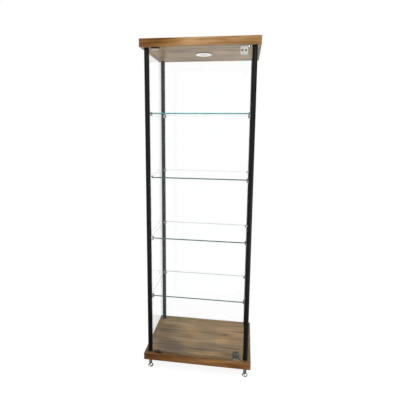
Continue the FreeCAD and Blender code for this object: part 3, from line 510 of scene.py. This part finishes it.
def lacquered_ring(name):
    """White lacquer, with a painted shade above a level, where the ring meets the ceiling."""
    s = material(name)
    point = s.place()
    cloud = s.noise(point, 70.0, detail=3.0)
    paint = s.ramp(cloud, NOISE_SPAN, PAINT_TONES)
    shadow_gap = s.ramp(s.noise(point, 900.0), NOISE_SPAN, SHADOW_GAP_TONES)
    # Painted shade on the ring's top, next to the ceiling
    above = s.math("GREATER_THAN", s.parts(point)[2], SHADOW_GAP_LEVEL)
    shell = s.surface(
        Base_Color=s.mix(above, paint, shadow_gap),
        Roughness=s.spread(cloud, 0.25, 0.4),
        Normal=s.bump(s.noise(point, 700.0), 0.04, 0.0002),
    )
    return s.done(shell)


def frosted_lens(name):
    """Pale diffuser with moulded rings, softly lit from behind and greyer in the middle."""
    s = material(name)
    point = s.place()
    x, y, _ = s.parts(point)
    radius = s.length(s.joined(x, y, 0.0))
    rings = s.math("SINE", s.math("MULTIPLY", radius, LENS_RINGS))
    cloud = s.noise(point, 90.0, detail=3.0)
    outward = s.ranged(radius, *LENS_SPREAD, 0.0, 1.0)
    tint = s.ramp(s.math("ADD", outward, s.spread(cloud, -0.1, 0.1)), LENS_STOPS, LENS_TONES)
    diffuser = s.surface(
        Base_Color=tint,
        Roughness=0.35,
        Emission_Color=tint,
        Emission_Strength=0.2,
        Normal=s.bump(rings, 0.35, 0.0003),
    )
    return s.done(diffuser)


BRIGHT_CHROME = (0.79, 0.785, 0.76)
METALS = {
    "chrome": {"colour": BRIGHT_CHROME, "rough": (0.05, 0.12), "steps": 60.0},
    "plate_chrome_painted_shade": {
        "colour": BRIGHT_CHROME,
        "rough": (0.05, 0.12),
        "steps": 60.0,
        # Faces turned down get a painted shade, for the gap under the plate
        "painted_gap_shade": (-1, (0.03, 0.026, 0.022)),
    },
    "clamp_chrome_painted_shade": {
        "colour": (0.58, 0.565, 0.51),
        "rough": (0.08, 0.18),
        "steps": 60.0,
        # Faces turned up get a painted shade, for the gap above the clamp
        "painted_gap_shade": (1, (0.09, 0.10, 0.09)),
    },
    "foot_chrome": {"colour": (0.48, 0.475, 0.46), "rough": (0.06, 0.12), "steps": 60.0},
    "satin_chrome": {"colour": (0.34, 0.34, 0.33), "rough": (0.16, 0.28), "steps": 60.0},
    "steel": {"colour": (0.42, 0.375, 0.335), "rough": (0.25, 0.4), "steps": 200.0},
    "lamp_can": {
        "colour": (0.70, 0.70, 0.71),
        "rough": (0.2, 0.34),
        "steps": 120.0,
        "stretch": (1.0, 1.0, 12.0),
    },
}
PLAINS = {
    "black_aluminium": {
        "dark": (0.004, 0.004, 0.004),
        "light": (0.008, 0.008, 0.008),
        "rough": (0.36, 0.5),
        "steps": 900.0,
        "relief": 0.05,
        "gloss": 0.12,
        "stretch": (1.0, 1.0, 0.02),
    },
    "black_steel": {
        "dark": (0.016, 0.016, 0.017),
        "light": (0.03, 0.03, 0.031),
        "rough": (0.3, 0.45),
        "steps": 600.0,
    },
    "black_plastic": {
        "dark": (0.020, 0.012, 0.008),
        "light": (0.034, 0.021, 0.015),
        "rough": (0.45, 0.6),
        "steps": 1200.0,
        "gloss": 0.2,
    },
    "magnet": {
        "dark": (0.03, 0.03, 0.032),
        "light": (0.06, 0.06, 0.062),
        "rough": (0.5, 0.7),
        "steps": 900.0,
    },
    "white_nylon": {
        "dark": (0.70, 0.70, 0.66),
        "light": (0.80, 0.80, 0.77),
        "rough": (0.4, 0.55),
        "steps": 800.0,
    },
    "soft_rubber": {
        "dark": (0.014, 0.014, 0.014),
        "light": (0.026, 0.026, 0.026),
        "rough": (0.7, 0.9),
        "steps": 900.0,
    },
    "circuit_board": {
        "dark": (0.74, 0.75, 0.72),
        "light": (0.84, 0.84, 0.82),
        "rough": (0.35, 0.5),
        "steps": 500.0,
    },
}
looks = {
    "walnut_board": walnut(
        "walnut_board", WALNUT_TONES, BOARD_STEPS_AND_PAINTED_LIGHT, figure=0.85, casts=BOARD_CASTS, knot=BASE_KNOT
    ),
    "walnut_edging": walnut("walnut_edging", EDGING_TONES, EDGING_STEPS_AND_PAINTED_LIGHT, figure=0.9, edging=True),
    "clear_glass": glass("clear_glass", bend=1.03, coat=0.45),
    "door_glass": glass("door_glass", bend=1.36, coat=0.0, edges=DOOR_EDGES),
    "shelf_glass": glass("shelf_glass", bend=1.36, coat=0.0, edges=SHELF_EDGES),
    "white_lacquer": lacquered_ring("white_lacquer"),
    "lamp_lens": frosted_lens("lamp_lens"),
}
looks |= {name: metal(name, **settings) for name, settings in METALS.items()}
looks |= {name: plain(name, **settings) for name, settings in PLAINS.items()}

# Each node has the look of its slot, apart from the chrome of the clamps and the hinges; the
# hinges' chrome carries painted shade between plate and clamp
own_looks = {f"shelf_clamps_{level}": "satin_chrome" for level in range(1, 5)}
own_looks |= {f"{end}_hinge_plate": "plate_chrome_painted_shade" for end in ("upper", "lower")}
own_looks |= {f"{end}_hinge_clamp": "clamp_chrome_painted_shade" for end in ("upper", "lower")}
for subpart in frame["record"]["subparts"]:
    look = own_looks.get(subpart["node"], subpart["material_slot"])
    nodes[subpart["node"]].material_slots[0].material = looks[look]


# Levelling foot, in millimetres; outlines are pairs of radius and height
MM_PER_METRE = 1000
FOOT_X = 270.0
FOOT_Y = 170.0
STEM_FOOT = 23.5
STEM_TOP = 50.0
STEM_CHAMFER = 1.0
THREAD_ROOT = 4.3
THREAD_CREST = 4.95
THREAD_PITCH = 1.5
THREAD_ROWS = 8
RUN_IN_SLOPE = 0.5
FOOT_SIDES = 32
BELL_LOWER = ((12.0, 3.5), (12.0, 2.0), (14.2, 2.0))
BELL_FLANK = ((15.0, 4.5), (9.8, 13.0), (7.0, 21.5))
BELL_COLLAR = ((7.0, 23.5), (THREAD_ROOT, STEM_FOOT))
FLANK_STEPS = 12
SHARP_DEGREES = 35


def arc(first, middle, last, steps):
    """Points on the circular arc through three points."""
    a, b, c = (Vector(p) for p in (first, middle, last))
    across, along = b - a, c - a
    turn = 2 * (across.x * along.y - across.y * along.x)
    centre = a + Vector(
        (
            along.y * across.length_squared - across.y * along.length_squared,
            across.x * along.length_squared - along.x * across.length_squared,
        )
    ) / turn
    start = math.atan2(a.y - centre.y, a.x - centre.x)
    end = math.atan2(c.y - centre.y, c.x - centre.x)
    sweep = math.remainder(end - start, math.tau)
    angles = [start + sweep * i / steps for i in range(steps + 1)]
    radius = (a - centre).length
    return [(centre.x + radius * math.cos(t), centre.y + radius * math.sin(t)) for t in angles]


def thread_radius(z, turn):
    """Radius of the stem at a height and a part of a turn, with the thread run out at both ends."""
    phase = (z / THREAD_PITCH - turn) % 1.0
    radius = THREAD_ROOT + (THREAD_CREST - THREAD_ROOT) * (1 - abs(2 * phase - 1))
    run_in = THREAD_ROOT + (z - STEM_FOOT) * RUN_IN_SLOPE
    run_out = THREAD_CREST - STEM_CHAMFER + (STEM_TOP - z)
    return min(radius, run_in, run_out)


def threaded_foot(corner, x, y):
    """Bell foot on its node's outline, with the thread of the stem cut in."""
    outline = list(BELL_LOWER) + arc(*BELL_FLANK, FLANK_STEPS) + list(BELL_COLLAR)
    rings = [[(radius, z)] * FOOT_SIDES for radius, z in outline]
    count = round((STEM_TOP - STEM_FOOT) / THREAD_PITCH * THREAD_ROWS)
    for row in range(1, count + 1):
        z = STEM_FOOT + (STEM_TOP - STEM_FOOT) * row / count
        rings.append([(thread_radius(z, side / FOOT_SIDES), z) for side in range(FOOT_SIDES)])
    points = []
    for ring in rings:
        for side, (radius, z) in enumerate(ring):
            angle = math.tau * side / FOOT_SIDES
            place = (x + radius * math.cos(angle), y + radius * math.sin(angle), z)
            points.append([value / MM_PER_METRE for value in place])
    faces = []
    for row in range(len(rings) - 1):
        low, high = row * FOOT_SIDES, (row + 1) * FOOT_SIDES
        for side in range(FOOT_SIDES):
            after = (side + 1) % FOOT_SIDES
            faces.append((low + side, low + after, high + after, high + side))
    top = (len(rings) - 1) * FOOT_SIDES
    faces.append(tuple(range(FOOT_SIDES - 1, -1, -1)))
    faces.append(tuple(range(top, top + FOOT_SIDES)))
    mesh = bpy.data.meshes.new(f"threaded_foot_{corner}")
    mesh.from_pydata(points, [], faces)
    mesh.polygons.foreach_set("use_smooth", [True] * len(mesh.polygons))
    mesh.set_sharp_from_angle(angle=math.radians(SHARP_DEGREES))
    mesh.materials.append(looks["foot_chrome"])
    piece = bpy.data.objects.new(mesh.name, mesh)
    bpy.context.scene.collection.objects.link(piece)
    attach(piece, f"{corner}_leveller")
    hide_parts(f"foot_{corner}")


# Studio; the walls' stops are parts of the way from left to right, the floor's reaches are metres
WHITE = (1, 1, 1)
SKY_TINT = (0.97, 0.98, 1.0)
SKY_STRENGTH = 0.36
WALL_STOPS = (0.32, 0.62)
DARK_WALL = (0.08, 0.08, 0.08)
FLOOR_HALF = 12.0
FLOOR_TONES = ((0.80, 0.80, 0.80), (0.84, 0.84, 0.84))
# Floor as mirrors see it: a painted shade, dark within the first reach and white beyond the second
MIRRORED_PAINTED_SHADE = (0.15, 0.155, 0.14)
MIRRORED_SHADE_REACH = (0.65, 1.2)
SHADOW_REACH = (0.6, 1.5)
SHADOW_DEPTH = (0.16, 0.16, 0.16)
SHADOW_GLOW = 0.9
# Lamps: name, place, target, size in metres and watts
LAMPS = (
    ("key", (1.0, -1.7, 2.7), (0.0, 0.0, 1.2), 1.2, 34.0),
    ("fill", (-2.4, -2.2, 1.6), (0.0, 0.0, 0.9), 1.6, 10.0),
    ("overhead", (0.2, -0.6, 3.6), (0.0, 0.0, 0.9), 2.2, 32.0),
    ("bounce", (2.2, -1.2, 0.35), (0.0, 0.0, 1.76), 1.0, 30.0),
)


def surroundings():
    """White room with soft light, whose right side is dark in mirrors."""
    bpy.context.scene.world = bpy.data.worlds.new("studio")
    s = Shader(bpy.context.scene.world)
    aside = s.parts(s.add("ShaderNodeTexCoord").outputs["Generated"])[0]
    walls = s.ramp(aside, WALL_STOPS, (WHITE, DARK_WALL))
    s.done(s.by_ray(s.glow(WHITE), s.glow(walls), s.glow(SKY_TINT, SKY_STRENGTH)))


def floor():
    """White floor that keeps the shadow of the case, and that mirrors see as a painted shade near
    the case.
    """
    mesh = bpy.data.meshes.new("floor")
    signs = ((-1, -1), (1, -1), (1, 1), (-1, 1))
    mesh.from_pydata([(x * FLOOR_HALF, y * FLOOR_HALF, 0) for x, y in signs], [], [(0, 1, 2, 3)])
    ground = bpy.data.objects.new("floor", mesh)
    bpy.context.scene.collection.objects.link(ground)
    s = material("floor")
    point = s.place()
    reach = s.length(point)
    pale = s.ramp(s.noise(point, 3.0), NOISE_SPAN, FLOOR_TONES)
    lit = s.surface(Base_Color=pale, Roughness=0.8, Specular_IOR_Level=0.1)
    # For mirrors the floor near the case glows dark: painted shade, turning white further out
    outward = s.ranged(reach, *MIRRORED_SHADE_REACH, 0.0, 1.0)
    mirrored = s.glow(s.ramp(outward, (0.0, 1.0), (MIRRORED_PAINTED_SHADE, WHITE)))
    faint = s.add("ShaderNodeBsdfDiffuse", {"Color": SHADOW_DEPTH}).outputs[0]
    shadowed = s.add("ShaderNodeAddShader", {0: faint, 1: s.glow(WHITE, SHADOW_GLOW)}).outputs[0]
    seen = s.blend(s.ranged(reach, *SHADOW_REACH, 0.0, 1.0), shadowed, s.glow(WHITE))
    mesh.materials.append(s.done(s.by_ray(seen, mirrored, lit)))


def lamp(name, place, target, size, watts):
    """Square soft lamp, aimed at a point."""
    data = bpy.data.lights.new(name, "AREA")
    data.shape = "SQUARE"
    data.size = size
    data.energy = watts
    light = bpy.data.objects.new(name, data)
    light.location = place
    light.rotation_mode = "QUATERNION"
    light.rotation_quaternion = (Vector(target) - Vector(place)).to_track_quat("-Z", "Y")
    bpy.context.scene.collection.objects.link(light)


def camera():
    """Camera at the photograph's place, turned by yaw, pitch and roll."""
    yaw, pitch, roll = (math.radians(a) for a in (CAMERA_YAW, CAMERA_PITCH, CAMERA_ROLL))
    ahead = Vector(
        (math.sin(yaw) * math.cos(pitch), math.cos(yaw) * math.cos(pitch), math.sin(pitch))
    )
    level = Vector((math.cos(yaw), -math.sin(yaw), 0))
    upright = level.cross(ahead)
    right = math.cos(roll) * level + math.sin(roll) * upright
    up = -math.sin(roll) * level + math.cos(roll) * upright
    data = bpy.data.cameras.new("camera")
    data.sensor_fit = "HORIZONTAL"
    data.sensor_width = SENSOR_MM
    data.lens = CAMERA_FOCAL * SENSOR_MM
    data.shift_x = 0.5 - CAMERA_CENTRE[0]
    data.shift_y = CAMERA_CENTRE[1] - 0.5
    data.clip_start, data.clip_end = CAMERA_CLIP
    eye = bpy.data.objects.new("camera", data)
    turn = Matrix((right, up, -ahead)).transposed().to_4x4()
    eye.matrix_world = Matrix.Translation(CAMERA_PLACE) @ turn
    bpy.context.scene.collection.objects.link(eye)
    bpy.context.scene.camera = eye


for side, right in (("left", -1), ("right", 1)):
    threaded_foot(f"front_{side}", right * FOOT_X, -FOOT_Y)
    threaded_foot(f"rear_{side}", right * FOOT_X, FOOT_Y)
surroundings()
floor()
for settings in LAMPS:
    lamp(*settings)
camera()
bpy.context.scene.view_settings.view_transform = "Standard"
bpy.context.view_layer.update()
